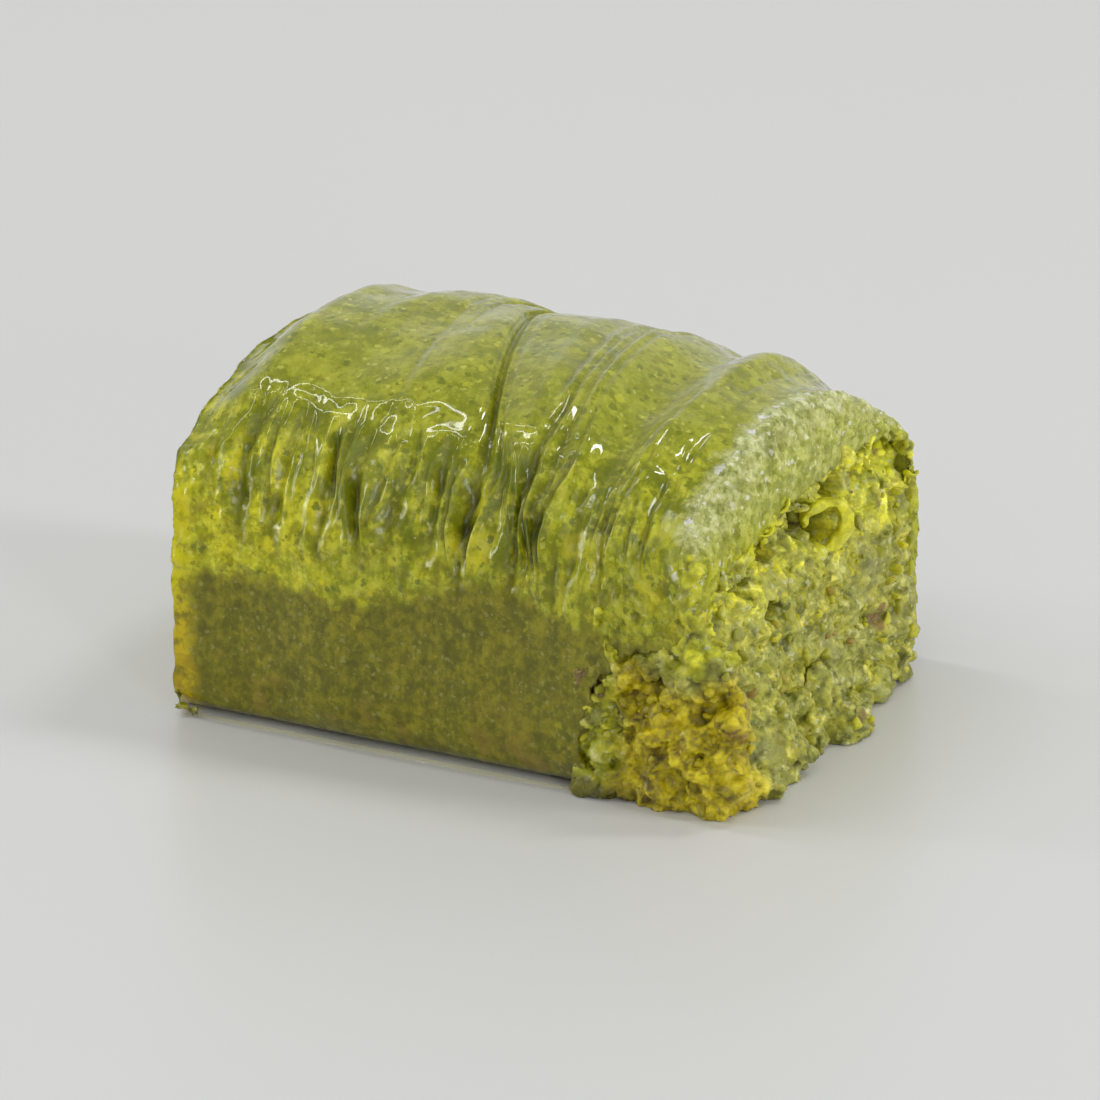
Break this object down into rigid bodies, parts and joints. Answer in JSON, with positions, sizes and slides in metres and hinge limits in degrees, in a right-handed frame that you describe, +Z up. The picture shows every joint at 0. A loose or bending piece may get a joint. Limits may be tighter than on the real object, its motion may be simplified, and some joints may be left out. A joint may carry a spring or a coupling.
{
  "type": "pistachio roll baklava piece",
  "caption": "One cut piece of green rolled baklava: a glossy, folded, syrup-soaked dough wrapper around a crumbly pistachio filling that shows at both cut ends.",
  "frame": {"origin": "middle of the whole piece's footprint, on the plane it rests on", "axes": "+X along the roll, out of its rough cut end; -Y out of the long side that the torn corner is on; +Z up"},
  "size_m": [0.0528, 0.0394, 0.03],
  "materials": {
    "dough": "thin syrup-soaked dough over ground pistachio: translucent green, glossy and folded above the syrup line, smooth and darker olive below it",
    "pistachio": "ground pistachio paste, crumbly and moist, with yellow and brown bits"
  },
  "bodies": {
    "root": {"wrapper": "dough", "filling": "pistachio"}
  },
  "joints": []
}
